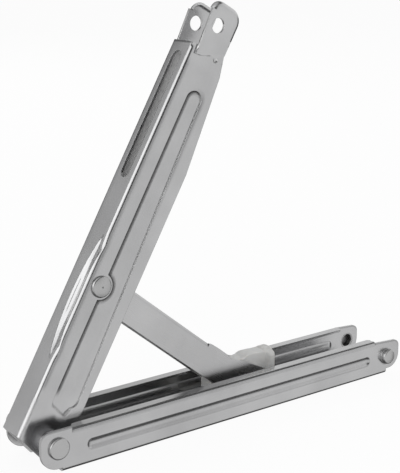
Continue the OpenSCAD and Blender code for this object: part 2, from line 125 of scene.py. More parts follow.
def span(node, end, low, high):
    """Sets the From or the To range of a Map Range node."""
    node.inputs[end + " Min"].default_value = low
    node.inputs[end + " Max"].default_value = high


print("helpers ready")

# %% [markdown]
# Bright metal has no look of its own: it shows the room. Soft boxes with dark gaps between them
# give each bend a bright line with a dark one beside it. The world does the same by direction,
# with five rings of greys one above the other. A picture of a studio could be used instead, but
# a few ramps are easier to tune and need no file. Rough surfaces get an even light, and behind
# the object the camera sees plain white.

# %% World
# Grey of each ring by compass bearing, in degrees from +x towards +y
RINGS = {
    "deep": [(-180, 0.14), (-60, 0.1), (0, 0.05), (180, 0.14)],
    "low": [(-180, 0.55), (-130, 0.7), (-70, 0.74), (-38, 0.72), (-16, 0.05), (30, 0.05),
            (50, 0.55), (62, 0.65), (130, 0.6), (180, 0.55)],
    "level": [(-180, 1.6), (-136, 1.5), (-123, 0.05), (-78, 0.05), (-62, 0.6), (-20, 0.8),
              (56, 0.72), (68, 0.3), (76, 0.04), (107, 0.04), (116, 0.55), (130, 0.62),
              (135, 0.05), (142, 0.05), (149, 1.5), (180, 1.6)],
    "high": [(-180, 0.9), (-120, 0.8), (-60, 0.12), (-30, 0.05), (30, 0.05), (60, 0.3),
             (120, 0.4), (150, 0.3), (180, 0.9)],
    "top": [(-180, 0.55), (0, 0.5), (180, 0.55)],
}
# Heights of the direction between which each ring takes over from the one below it
TAKES_OVER = {"low": (-0.72, -0.5), "level": (-0.01, 0.1), "high": (0.58, 0.72), "top": (0.86, 0.95)}
EVEN_LIGHT, WHITE = 0.6, 1.0


def studio_world():
    """A studio for reflections, an even light for the rest, and white behind the object."""
    world = bpy.data.worlds.new("studio")
    bpy.context.scene.world = world
    world.use_nodes = True
    tree = world.node_tree
    tree.nodes.clear()
    link = tree.links.new
    coords = add(tree, "ShaderNodeTexCoord", -1400)
    split = add(tree, "ShaderNodeSeparateXYZ", -1200)
    turn = add(tree, "ShaderNodeMath", -1000, 200, operation="ARCTAN2")
    compass = add(tree, "ShaderNodeMapRange", -820, 200)
    span(compass, "From", -math.pi, math.pi)
    link(coords.outputs["Generated"], split.inputs[0])
    link(split.outputs["Y"], turn.inputs[0])
    link(split.outputs["X"], turn.inputs[1])
    link(turn.outputs[0], compass.inputs["Value"])

    def ring(name, y):
        """One ring of the studio, read at the bearing of the direction."""
        ramp = add(tree, "ShaderNodeValToRGB", -600, y, label=name)
        ramp_stops(ramp, [((bearing + 180) / 360, tone) for bearing, tone in RINGS[name]])
        link(compass.outputs[0], ramp.inputs[0])
        return ramp.outputs[0]

    def lay_over(under, name, step):
        """Lets the named ring take over from what lies under it."""
        mask = add(tree, "ShaderNodeMapRange", -600, 800 + 100 * step, interpolation_type="SMOOTHSTEP")
        span(mask, "From", *TAKES_OVER[name])
        mix = add(tree, "ShaderNodeMix", -300 + 200 * step, 400 - 200 * step, data_type="RGBA")
        link(split.outputs["Z"], mask.inputs["Value"])
        link(mask.outputs[0], mix.inputs["Factor"])
        link(under, mix.inputs["A"])
        link(ring(name, 200 - 300 * step), mix.inputs["B"])
        return mix.outputs["Result"]

    view = ring("deep", 500)
    for step, name in enumerate(TAKES_OVER):
        view = lay_over(view, name, step)

    room = add(tree, "ShaderNodeBackground", 500, 0)
    even = add(tree, "ShaderNodeBackground", 500, -160)
    even.inputs["Color"].default_value = grey(EVEN_LIGHT)
    seen = add(tree, "ShaderNodeBackground", 500, -320)
    seen.inputs["Color"].default_value = grey(WHITE)
    path = add(tree, "ShaderNodeLightPath", 500, 400)
    shiny = add(tree, "ShaderNodeMixShader", 700)
    mix = add(tree, "ShaderNodeMixShader", 900)
    out = add(tree, "ShaderNodeOutputWorld", 1100)
    link(view, room.inputs["Color"])
    link(path.outputs["Is Glossy Ray"], shiny.inputs[0])
    link(even.outputs[0], shiny.inputs[1])
    link(room.outputs[0], shiny.inputs[2])
    link(path.outputs["Is Camera Ray"], mix.inputs[0])
    link(shiny.outputs[0], mix.inputs[1])
    link(seen.outputs[0], mix.inputs[2])
    link(mix.outputs[0], out.inputs[0])
    return tree


bpy.context.scene.view_settings.view_transform = "Standard"
print("studio:", len(RINGS), "rings,", len(studio_world().nodes), "nodes")

# %% [markdown]
# The hinge lies on a pale table. A plain white floor would come out grey under the lamps, so the
# camera sees mostly a glow, with a share of matte paint in it that keeps the soft shadow. The
# metal doesn't reflect the table: it shows the studio's own lower rings instead.

# %% Floor
FLOOR_GREY = 0.86
GLOW_SHARE = 0.93


def floor_material():
    """Pale floor that the camera sees as nearly white, with the object's shadow on it."""
    material = bpy.data.materials.new("pale_floor")
    material.use_nodes = True
    tree = material.node_tree
    tree.nodes.clear()
    matte = add(tree, "ShaderNodeBsdfDiffuse", 0, 0)
    matte.inputs["Color"].default_value = grey(FLOOR_GREY)
    glow = add(tree, "ShaderNodeEmission", 0, -160)
    path = add(tree, "ShaderNodeLightPath", -400, 200)
    share = add(tree, "ShaderNodeMath", -200, 200, operation="MULTIPLY")
    share.inputs[1].default_value = GLOW_SHARE
    mix = add(tree, "ShaderNodeMixShader", 200)
    out = add(tree, "ShaderNodeOutputMaterial", 400)
    link = tree.links.new
    link(path.outputs["Is Camera Ray"], share.inputs[0])
    link(share.outputs[0], mix.inputs[0])
    link(matte.outputs[0], mix.inputs[1])
    link(glow.outputs[0], mix.inputs[2])
    link(mix.outputs[0], out.inputs[0])
    return material


def lay_floor(half=6.0):
    """A square floor, half of it each way from the middle."""
    mesh = bpy.data.meshes.new("floor")
    corners = [(-half, -half, 0), (half, -half, 0), (half, half, 0), (-half, half, 0)]
    mesh.from_pydata(corners, [], [(0, 1, 2, 3)])
    mesh.materials.append(floor_material())
    floor = bpy.data.objects.new("floor", mesh)
    bpy.context.scene.collection.objects.link(floor)
    floor.visible_glossy = False
    return floor


print("floor", [round(v, 1) for v in lay_floor().dimensions])

# %% [markdown]
# Three soft lamps shape the rough parts and cast the shadow: a key on the camera's side, a fill
# and one from behind. None is seen in the metal, where a second bright patch beside the rings
# would break the lines along the bends.


# %% Lamps
def soft_box(name, place, size, watts):
    """A square lamp that faces the middle of the hinge and isn't seen in the metal."""
    lamp = bpy.data.objects.new(name, bpy.data.lights.new(name, "AREA"))
    lamp.data.size, lamp.data.energy = size, watts
    lamp.location = place
    lamp.rotation_euler = (TARGET - Vector(place)).to_track_quat("-Z", "Y").to_euler()
    lamp.visible_glossy = False
    bpy.context.scene.collection.objects.link(lamp)
    print(name, "lamp,", watts, "W")


soft_box("key", (-1.5, -1.45, 1.15), size=0.9, watts=16)
soft_box("fill", (1.6, -1.0, 1.2), size=1.2, watts=8)
soft_box("back", (0.3, 1.7, 1.3), size=1.2, watts=8)

# %% [markdown]
# Several finishes share an effect, such as the lines of rolling or the polish on an edge. Each
# effect is one node group with named inputs, built once and placed in each material with its own
# values. Copying the nodes into each material would work too, but then a change to the effect
# has to be made in all of them.


# %% A new group
def new_group(name, inputs, outputs):
    """A shader group with named inputs (name, kind, value) and outputs (name, kind)."""
    group = bpy.data.node_groups.new(name, "ShaderNodeTree")
    for title, kind, value in inputs:
        socket = group.interface.new_socket(title, in_out="INPUT", socket_type="NodeSocket" + kind)
        if value is not None:
            socket.default_value = value
    for title, kind in outputs:
        group.interface.new_socket(title, in_out="OUTPUT", socket_type="NodeSocket" + kind)
    print("group", name)
    return group, add(group, "NodeGroupInput", -900), add(group, "NodeGroupOutput", 900)


# %% [markdown]
# Cold-rolled sheet keeps fine lines along the way it was rolled, and its plating dulls in slow
# clouds. A picture of sheet metal would need an unwrapped part. Noise squeezed along one axis
# gives the lines in any place, and the same noise unsqueezed gives the clouds.

# %% Rolled grain
CLOUD_SCALE = 28.0  # per metre


def rolled_grain_group():
    """Fine lines along x of the given vector, and slow clouds of dullness."""
    group, start, end = new_group(
        "rolled_grain",
        [("Vector", "Vector", None), ("Lines per mm", "Float", 3.0), ("Draw", "Float", 40.0)],
        [("Lines", "Float"), ("Clouds", "Float")])
    link = group.links.new
    per_metre = add(group, "ShaderNodeMath", -700, 0, operation="MULTIPLY")
    per_metre.inputs[1].default_value = 1000.0
    squeeze = add(group, "ShaderNodeMath", -700, -200, operation="DIVIDE")
    squeeze.inputs[0].default_value = 1.0
    stretch = add(group, "ShaderNodeCombineXYZ", -500, -200)
    stretch.inputs[1].default_value = stretch.inputs[2].default_value = 1.0
    scaled = add(group, "ShaderNodeVectorMath", -300, 0, operation="MULTIPLY")
    lines = add(group, "ShaderNodeTexNoise", -100, 100)
    lines.inputs["Detail"].default_value = 4.0
    clouds = add(group, "ShaderNodeTexNoise", -100, -200)
    clouds.inputs["Scale"].default_value = CLOUD_SCALE
    clouds.inputs["Detail"].default_value = 3.0
    link(start.outputs["Lines per mm"], per_metre.inputs[0])
    link(start.outputs["Draw"], squeeze.inputs[1])
    link(squeeze.outputs[0], stretch.inputs[0])
    link(start.outputs["Vector"], scaled.inputs[0])
    link(stretch.outputs[0], scaled.inputs[1])
    link(scaled.outputs[0], lines.inputs["Vector"])
    link(per_metre.outputs[0], lines.inputs["Scale"])
    link(start.outputs["Vector"], clouds.inputs["Vector"])
    link(lines.outputs["Fac"], end.inputs["Lines"])
    link(clouds.outputs["Fac"], end.inputs["Clouds"])
    return group


GRAIN = rolled_grain_group()

# %% [markdown]
# The press and the barrel leave no knife-sharp edge, and rub each edge brighter than the flats.
# Real bevels on every edge would cost many faces. The Bevel node rounds only the shading, and
# where its normal differs from the true one there is an edge, so one node gives both effects.


# %% Edge wear
def edge_wear_group():
    """Finds edges by comparing the rounded normal with the true one."""
    group, start, end = new_group(
        "edge_wear", [("Width", "Float", 0.6 * MM)], [("Edge", "Float"), ("Normal", "Vector")])
    link = group.links.new
    rounded = add(group, "ShaderNodeBevel", -500, 0, samples=6)
    true = add(group, "ShaderNodeNewGeometry", -500, -200)
    facing = add(group, "ShaderNodeVectorMath", -250, 0, operation="DOT_PRODUCT")
    mask = add(group, "ShaderNodeMapRange", 0, 0)
    span(mask, "From", 0.995, 0.8)  # cosines: no edge at 6 degrees, a full one at 37
    link(start.outputs["Width"], rounded.inputs["Radius"])
    link(rounded.outputs[0], facing.inputs[0])
    link(true.outputs["Normal"], facing.inputs[1])
    link(facing.outputs["Value"], mask.inputs["Value"])
    link(mask.outputs[0], end.inputs["Edge"])
    link(rounded.outputs[0], end.inputs["Normal"])
    return group


WEAR = edge_wear_group()

# %% [markdown]
# Ribs and panels are pressed a sheet deep, and the corner under each step gets painted shade, a darker
# colour that draws its outline. It could be painted by hand along each rib. Ambient occlusion over one
# to three millimetres finds all of them, and leaning it towards the light picks the side where the
# step casts its shade.


# %% Painted shade in the corners of the pressings
def pressed_corner_group():
    """Finds the corner under a step, where painted shade goes: the side that Lean points at."""
    group, start, end = new_group(
        "pressed_corner",
        [("Lean", "Vector", (0.0, 0.0, 1.0)), ("Reach", "Float", 2 * MM)],
        [("Corner", "Float")])
    link = group.links.new
    true = add(group, "ShaderNodeNewGeometry", -700, 0)
    lean = add(group, "ShaderNodeVectorTransform", -700, -200,
               vector_type="VECTOR", convert_from="OBJECT", convert_to="WORLD")
    tilted = add(group, "ShaderNodeVectorMath", -500, 0, operation="ADD")
    unit = add(group, "ShaderNodeVectorMath", -300, 0, operation="NORMALIZE")
    shut_in = add(group, "ShaderNodeAmbientOcclusion", -100, 0, samples=8, only_local=True)
    mask = add(group, "ShaderNodeMapRange", 200, 0)
    span(mask, "From", 0.95, 0.68)  # shares of open sky: no corner, and a full one
    link(start.outputs["Lean"], lean.inputs[0])
    link(true.outputs["Normal"], tilted.inputs[0])
    link(lean.outputs[0], tilted.inputs[1])
    link(tilted.outputs[0], unit.inputs[0])
    link(unit.outputs[0], shut_in.inputs["Normal"])
    link(start.outputs["Reach"], shut_in.inputs["Distance"])
    link(shut_in.outputs["AO"], mask.inputs["Value"])
    link(mask.outputs[0], end.inputs["Corner"])
    return group


CORNER = pressed_corner_group()

# %% [markdown]
# Some places of the arms look different from the rest: the joggle where the ears step outwards,
# the plates' inner faces, the cut edges. Painting a mask needs an unwrapped part. Here a place
# is a range of a reading, such as the distance along the arm, and masks are made of such ranges.


# %% Ranges as masks
def reading(group, vector, direction, y):
    """How far a vector goes in a direction."""
    dot = add(group, "ShaderNodeVectorMath", -500, y, operation="DOT_PRODUCT")
    dot.inputs[1].default_value = direction
    group.links.new(vector, dot.inputs[0])
    return dot.outputs["Value"]


def between(group, value, place, y):
    """One inside a place (low, high, soft), falling to nothing over soft at each end."""
    low, high, soft = place
    rise = add(group, "ShaderNodeMapRange", -250, y, interpolation_type="SMOOTHSTEP")
    span(rise, "From", low - soft, low)
    fall = add(group, "ShaderNodeMapRange", -250, y - 150, interpolation_type="SMOOTHSTEP")
    span(fall, "From", high + soft, high)
    group.links.new(value, rise.inputs["Value"])
    group.links.new(value, fall.inputs["Value"])
    return combine(group, "MULTIPLY", rise.outputs[0], fall.outputs[0], 0, y)


def combine(group, operation, a, b, x, y):
    """Two masks as one: MULTIPLY where both hold, MAXIMUM where either does."""
    both = add(group, "ShaderNodeMath", x, y, operation=operation)
    group.links.new(a, both.inputs[0])
    group.links.new(b, both.inputs[1])
    return both.outputs[0]


print("masks are made by reading, between and combine")

# %% [markdown]
# On the upper arm the ears' joggle and the heel are soft bends, the inside is paler and duller than
# the outside, which is painted light, and the cut edges of the sheet are paler. The painted shade in
# the corners of the pressings is kept between the heel and the ears only, and in the joggle the
# plates' own faces stay flat between the bends.

# %% Places on the upper arm
# Each is low, high and softness, in metres: along the arm from the pivot
JOGGLE = (0.2345, 0.2415, 0.003)
HEEL = (0.0, 0.019, 0.003)
EARS = (0.2, 0.2515, 0.002)
PRESSED_LENGTH = (0.03, 0.222, 0.006)
# out of the arm, from the pivot
UNDER_WEB = (-0.05, 0.01885, 0.0001)
PLATE_EDGES = (-0.05, 0.012, 0.001)
ABOVE_EDGES = (-0.0015, 0.1, 0.004)
# across the arm, and for the ears either way from its middle
BETWEEN_PLATES = (-0.0084, 0.0084, 0.0001)
OUTSIDE_ARM = (0.0099, 0.1, 0.0001)
# how squarely a face looks out of the arm, or across it, as a share
FACING_OUT = (0.2, 2.0, 0.1)
FACING_ACROSS = (0.45, 2.0, 0.2)


def arm_places_group():
    """Masks of the upper arm's places as drawn open, and the plates' flat normal."""
    group, start, end = new_group(
        "arm_places",
        [("Vector", "Vector", None), ("Rounded", "Vector", None)],
        [("Soft", "Float"), ("Inside", "Float"), ("Wall", "Float"), ("Painted Shade", "Float"),
         ("Flat", "Float"), ("Side", "Vector")])
    link = group.links.new
    from_pivot = add(group, "ShaderNodeVectorMath", -700, 200, operation="SUBTRACT")
    from_pivot.inputs[1].default_value = PIVOT
    own = add(group, "ShaderNodeVectorTransform", -700, -600,
              vector_type="NORMAL", convert_from="WORLD", convert_to="OBJECT")
    link(start.outputs["Vector"], from_pivot.inputs[0])
    link(start.outputs["Rounded"], own.inputs[0])
    reach = reading(group, from_pivot.outputs[0], ALONG, 300)
    height = reading(group, from_pivot.outputs[0], OUT, 0)
    width = reading(group, from_pivot.outputs[0], WIDTHWAYS, -300)
    out_facing = reading(group, own.outputs[0], OUT, -600)
    across_facing = reading(group, own.outputs[0], WIDTHWAYS, -2000)

    def both(a, b, y):
        return combine(group, "MULTIPLY", a, b, 300, y)

    def either(a, b, y):
        return combine(group, "MAXIMUM", a, b, 300, y)

    joggle = between(group, reach, JOGGLE, 500)
    link(either(joggle, between(group, reach, HEEL, 1300), 500), end.inputs["Soft"])
    between_plates = between(group, width, BETWEEN_PLATES, -300)
    under_web = between(group, height, UNDER_WEB, 0)
    link(both(between_plates, under_web, -100), end.inputs["Inside"])

    # cut edges of the panels and of the ears, which stand outside the arm's own width
    spread = add(group, "ShaderNodeMath", -250, -1000, operation="ABSOLUTE")
    link(width, spread.inputs[0])
    outside = between(group, spread.outputs[0], OUTSIDE_ARM, -1000)
    ear = both(outside, between(group, reach, EARS, 1700), -1000)
    edge = either(between(group, height, PLATE_EDGES, 900), ear, 900)
    link(both(between(group, out_facing, FACING_OUT, -700), edge, -500), end.inputs["Wall"])
    # where the painted shade of the pressings is kept: along the pressed length, above the plates'
    # edges
    ribbed = between(group, reach, PRESSED_LENGTH, 2100)
    link(both(ribbed, between(group, height, ABOVE_EDGES, 2400), 2100), end.inputs["Painted Shade"])

    # the plates' flat normal, -1 or 1 across the arm and never nothing
    behind = add(group, "ShaderNodeMath", -350, -2000, operation="GREATER_THAN")
    behind.inputs[1].default_value = 0.0
    sign = add(group, "ShaderNodeMapRange", -150, -2000)
    span(sign, "To", -1.0, 1.0)
    steep = add(group, "ShaderNodeMath", -250, -2150, operation="ABSOLUTE")
    square = add(group, "ShaderNodeCombineXYZ", 0, -2000)
    to_world = add(group, "ShaderNodeVectorTransform", 200, -2000,
                   vector_type="NORMAL", convert_from="OBJECT", convert_to="WORLD")
    link(across_facing, behind.inputs[0])
    link(across_facing, steep.inputs[0])
    link(behind.outputs[0], sign.inputs["Value"])
    link(sign.outputs[0], square.inputs[1])
    link(square.outputs[0], to_world.inputs[0])
    link(to_world.outputs[0], end.inputs["Side"])
    flat = both(joggle, between(group, steep.outputs[0], FACING_ACROSS, -2150), -2150)
    link(flat, end.inputs["Flat"])
    return group


ARM_PLACES = arm_places_group()

# %% [markdown]
# Near the pivot the trough of the lower arm sees little of the room, so it is darker than the
# outside. The studio's rings reach further in than a real room does, and a lamp can't take light
# away, so the steel itself is darker in that place.

# %% Inside of the lower arm
# Low, high and softness in metres: across the arm, along x and up z
TROUGH_WIDTH = (-0.0182, 0.0182, 0.0001)
TROUGH_LENGTH = (-0.2, -0.06, 0.09)
OVER_SOLE = (0.0017, 0.1, 0.0001)


def trough_group():
    """Mask of the lower arm's inside towards the pivot."""
    group, start, end = new_group("trough", [("Vector", "Vector", None)], [("Deep", "Float")])
    split = add(group, "ShaderNodeSeparateXYZ", -500, 0)
    group.links.new(start.outputs["Vector"], split.inputs[0])
    x, y, z = split.outputs
    wide = between(group, y, TROUGH_WIDTH, 0)
    long = between(group, x, TROUGH_LENGTH, -300)
    high = between(group, z, OVER_SOLE, -600)
    plan = combine(group, "MULTIPLY", wide, long, 300, 0)
    group.links.new(combine(group, "MULTIPLY", plan, high, 500, -300), end.inputs["Deep"])
    return group


TROUGH = trough_group()

# %% [markdown]
# Zinc-plated steel is a metal with a middling shine. The rolled lines vary its roughness more
# than its colour, so they show where it catches the light and vanish elsewhere. One function
# makes every steel of the hinge, since they differ only in tone, shine and the way of rolling.

# %% Steel
EDGE_WIDTH = 0.3 * MM
SHADE_SHARE = 0.75         # how much of the zinc the painted shade hides
# the grey of rubbed edges, and the near-black grey of the painted shade in corners
POLISHED, SHADE_GREY = grey(0.86), grey(0.05)
RELIEF_DEPTH = 0.05 * MM


def steel(name, colour, rough, lines=0.5, turn=0.0, draw=40.0, wear=0.2, bump=0.05,
          lean=(0.0, 0.0, 0.0), reach=1.2 * MM):
    """A steel finish. turn is the angle of the rolling lines in the x-z plane, and draw is how many
    times longer they are than wide. lean and reach place the painted shade in the corners."""
    material = bpy.data.materials.new(name)
    material.use_nodes = True
    tree = material.node_tree
    link = tree.links.new
    shader = tree.nodes["Principled BSDF"]
    shader.inputs["Metallic"].default_value = 1.0
    coords = add(tree, "ShaderNodeTexCoord", -1300, name="coords")
    turned = add(tree, "ShaderNodeMapping", -1100)
    turned.inputs["Rotation"].default_value = (0, turn, 0)
    grain = add(tree, "ShaderNodeGroup", -850, 100, node_tree=GRAIN)
    grain.inputs["Draw"].default_value = draw
    edges = add(tree, "ShaderNodeGroup", -850, -200, name="edges", node_tree=WEAR)
    edges.inputs["Width"].default_value = EDGE_WIDTH
    # painted shade: ambient occlusion finds the corner under each step
    corner_shade = add(tree, "ShaderNodeGroup", -850, -450, node_tree=CORNER)
    corner_shade.inputs["Lean"].default_value = lean
    corner_shade.inputs["Reach"].default_value = reach
    tone = add(tree, "ShaderNodeValToRGB", -600, 200)
    ramp_stops(tone, [(0.25, tuple(c * 0.88 for c in colour)),
                      (0.75, tuple(min(1.0, c * 1.08) for c in colour))])
    bright = add(tree, "ShaderNodeMix", -300, 200, data_type="RGBA")
    bright.inputs["B"].default_value = POLISHED
    rubbed = add(tree, "ShaderNodeMath", -500, 0, operation="MULTIPLY")
    rubbed.inputs[1].default_value = wear
    dull = add(tree, "ShaderNodeMapRange", -600, -100)
    span(dull, "From", 0.3, 0.7)
    span(dull, "To", rough - 0.06 * lines, rough + 0.1 * lines)
    relief = add(tree, "ShaderNodeBump", -300, -300, name="relief")
    relief.inputs["Strength"].default_value = bump
    relief.inputs["Distance"].default_value = RELIEF_DEPTH
    # the painted shade is mixed over the zinc colour
    shade_amount = add(tree, "ShaderNodeMath", -500, -450, name="shade_amount", operation="MULTIPLY")
    shade_amount.inputs[1].default_value = SHADE_SHARE
    plated = add(tree, "ShaderNodeMix", -100, 200, name="plated", data_type="RGBA")
    plated.inputs["B"].default_value = SHADE_GREY
    link(coords.outputs["Object"], turned.inputs["Vector"])
    link(turned.outputs[0], grain.inputs["Vector"])
    link(grain.outputs["Clouds"], tone.inputs[0])
    link(tone.outputs[0], bright.inputs["A"])
    link(edges.outputs["Edge"], rubbed.inputs[0])
    link(rubbed.outputs[0], bright.inputs["Factor"])
    link(corner_shade.outputs["Corner"], shade_amount.inputs[0])
    link(shade_amount.outputs[0], plated.inputs["Factor"])
    link(bright.outputs["Result"], plated.inputs["A"])
    link(plated.outputs["Result"], shader.inputs["Base Color"])
    link(grain.outputs["Lines"], dull.inputs["Value"])
    link(dull.outputs[0], shader.inputs["Roughness"])
    link(grain.outputs["Lines"], relief.inputs["Height"])
    link(edges.outputs["Normal"], relief.inputs["Normal"])
    link(relief.outputs[0], shader.inputs["Normal"])
    print("finish", name)
    return material


def tint(tree, colour, tone, mask, x):
    """Lays a grey over a colour where a mask says, and gives it to the shader."""
    mix = add(tree, "ShaderNodeMix", x, 350, data_type="RGBA")
    mix.inputs["B"].default_value = grey(tone)
    tree.links.new(mask, mix.inputs["Factor"])
    tree.links.new(colour, mix.inputs["A"])
    tree.links.new(mix.outputs["Result"], tree.nodes["Principled BSDF"].inputs["Base Color"])
    return mix.outputs["Result"]


ZINC, WORN, SHADED, BORE_GREY = (0.63, 0.63, 0.635), (0.6, 0.6, 0.6), (0.5, 0.5, 0.51), (0.3, 0.3, 0.3)
strut_steel = steel("strut_steel", ZINC, 0.28, lines=0.2, bump=0.02, turn=-STRUT_ANGLE)
rivet_steel = steel("rivet_steel", WORN, 0.26, lines=0.2, draw=1.0, wear=0.05, bump=0.01)
bush_steel = steel("bush_steel", WORN, 0.3, lines=0.2, draw=1.0, wear=0.05, bump=0.01)
inner_steel = steel("inner_steel", SHADED, 0.4, lines=0.3, draw=1.0)
# the bores' dark grey is painted shade
bore_steel = steel("bore_steel", BORE_GREY, 0.45, lines=0.2, draw=1.0, wear=0.0)

# %% [markdown]
# The two arms are the same zinc, with places of their own. The lower arm only darkens inside, as
# painted shade. The upper arm's inner faces are paler and half matte, as painted light, its cut edges
# paler still, its joggle and heel have wider rounding, and its painted shade in the corners stays on
# its pressed length alone.

# %% Steel of the two arms
# how far the painted shade in the corners leans towards the light above
LEAN = 1.2
TROUGH_GREY = 0.56
# painted light: the inner faces are paler and less metallic than the outside
INNER_GREY, INNER_METAL = 0.66, 0.4
CUT_EDGE_GREY = 0.75
SOFT_WIDTH = 2.5 * MM


def lower_arm_finish():
    """The zinc of the lower arm, darker in its trough."""
    material = steel("lower_arm_steel", ZINC, 0.24, lines=0.3, bump=0.03, lean=(0.0, 0.0, LEAN))
    tree = material.node_tree
    trough = add(tree, "ShaderNodeGroup", -1100, -700, node_tree=TROUGH)
    tree.links.new(tree.nodes["coords"].outputs["Object"], trough.inputs["Vector"])
    tint(tree, tree.nodes["plated"].outputs["Result"], TROUGH_GREY, trough.outputs["Deep"], 50)
    return material


def upper_arm_finish():
    """The zinc of the upper arm, with its joggle, heel, inside and cut edges."""
    material = steel("upper_arm_steel", ZINC, 0.24, lines=0.3, bump=0.03, turn=OPEN_ANGLE,
                     lean=OUT * LEAN, reach=3 * MM)
    tree = material.node_tree
    link = tree.links.new
    coords, edges, relief, shade_amount, plated = (
        tree.nodes[name] for name in ("coords", "edges", "relief", "shade_amount", "plated"))
    places = add(tree, "ShaderNodeGroup", -1100, -700, node_tree=ARM_PLACES)
    corners = add(tree, "ShaderNodeGroup", -1300, -800, node_tree=WEAR)
    corners.inputs["Width"].default_value = EDGE_WIDTH
    link(coords.outputs["Object"], places.inputs["Vector"])
    link(corners.outputs["Normal"], places.inputs["Rounded"])
    # the painted shade is kept to the pressed length
    link(places.outputs["Painted Shade"], shade_amount.inputs[1])

    rounding = add(tree, "ShaderNodeMapRange", -950, -350)
    span(rounding, "To", EDGE_WIDTH, SOFT_WIDTH)
    link(places.outputs["Soft"], rounding.inputs["Value"])
    link(rounding.outputs[0], edges.inputs["Width"])
    squared = add(tree, "ShaderNodeMix", -400, -500, data_type="VECTOR")
    link(places.outputs["Flat"], squared.inputs["Factor"])
    link(edges.outputs["Normal"], squared.inputs["A"])
    link(places.outputs["Side"], squared.inputs["B"])
    link(squared.outputs["Result"], relief.inputs["Normal"])

    # painted light on the inside, then the paler cut edges
    pale = tint(tree, plated.outputs["Result"], INNER_GREY, places.outputs["Inside"], 50)
    tint(tree, pale, CUT_EDGE_GREY, places.outputs["Wall"], 200)
    metal = add(tree, "ShaderNodeMapRange", 0, -50)
    span(metal, "To", 1.0, INNER_METAL)
    link(places.outputs["Inside"], metal.inputs["Value"])
    link(metal.outputs[0], tree.nodes["Principled BSDF"].inputs["Metallic"])
    return material


base_steel = lower_arm_finish()
arm_steel = upper_arm_finish()

# %% [markdown]
# Natural nylon is milky: light goes in a little way and comes out again, so shaded sides stay
# pale. White paint would look chalky here. Subsurface scattering over two millimetres gives it.

# %% Nylon
MILK_SHARE = 0.35
MILK_DEPTH = (2.2 * MM, 2.0 * MM, 1.8 * MM)
NYLON_TONES = [(0.3, (0.5, 0.5, 0.492)), (0.7, (0.57, 0.57, 0.562))]


def nylon_finish():
    """Milky nylon with slow clouds and the fine pores of a mould."""
    material = bpy.data.materials.new("milky_nylon")
    material.use_nodes = True
    tree = material.node_tree
    link = tree.links.new
    shader = tree.nodes["Principled BSDF"]
    shader.inputs["Subsurface Weight"].default_value = MILK_SHARE
    shader.inputs["Subsurface Radius"].default_value = MILK_DEPTH
    shader.inputs["Subsurface Scale"].default_value = 1.0
    coords = add(tree, "ShaderNodeTexCoord", -1100)
    cloud = add(tree, "ShaderNodeTexNoise", -900, 100)
    cloud.inputs["Scale"].default_value = 90.0
    tone = add(tree, "ShaderNodeValToRGB", -600, 150)
    ramp_stops(tone, NYLON_TONES)
    dull = add(tree, "ShaderNodeMapRange", -600, -100)
    span(dull, "To", 0.36, 0.5)
    pores = add(tree, "ShaderNodeTexNoise", -900, -250)
    pores.inputs["Scale"].default_value = 1400.0
    relief = add(tree, "ShaderNodeBump", -300, -300)
    relief.inputs["Strength"].default_value = 0.12
    relief.inputs["Distance"].default_value = 0.1 * MM
    edges = add(tree, "ShaderNodeGroup", -600, -400, node_tree=WEAR)
    link(coords.outputs["Object"], cloud.inputs["Vector"])
    link(coords.outputs["Object"], pores.inputs["Vector"])
    link(cloud.outputs["Fac"], tone.inputs[0])
    link(cloud.outputs["Fac"], dull.inputs["Value"])
    link(tone.outputs[0], shader.inputs["Base Color"])
    link(dull.outputs[0], shader.inputs["Roughness"])
    link(pores.outputs["Fac"], relief.inputs["Height"])
    link(edges.outputs["Normal"], relief.inputs["Normal"])
    link(relief.outputs[0], shader.inputs["Normal"])
    print("finish", material.name)
    return material


nylon = nylon_finish()

# %% [markdown]
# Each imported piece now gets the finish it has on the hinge. What isn't named, such as sleeves
# and spacers, is plain inner steel. The finish goes on every slot, so no face is left bare.

# %% Dress the nodes
FINISH = {
    "base_channel": base_steel, "upper_channel": arm_steel, "strut": strut_steel,
    "slider_block": nylon, "front_strut_washer": nylon, "back_strut_washer": nylon,
    "pivot_rivet": rivet_steel, "strut_rivet": rivet_steel, "foot_pin": rivet_steel,
    "front_end_bush": bush_steel, "back_end_bush": bush_steel,
}
for name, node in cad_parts.items():
    for slot in node.material_slots:
        slot.material = FINISH.get(name, inner_steel)
print("dressed", len(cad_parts), "nodes")

# %% [markdown]
# Rivets and bushes are turned or struck round, so each is one outline swept about its axis. Spin
# in mesh code would do for one. A Geometry Nodes tree does it for all of them by the same rule,
# and takes the outline of each as its input, so a head can be reshaped without new code.


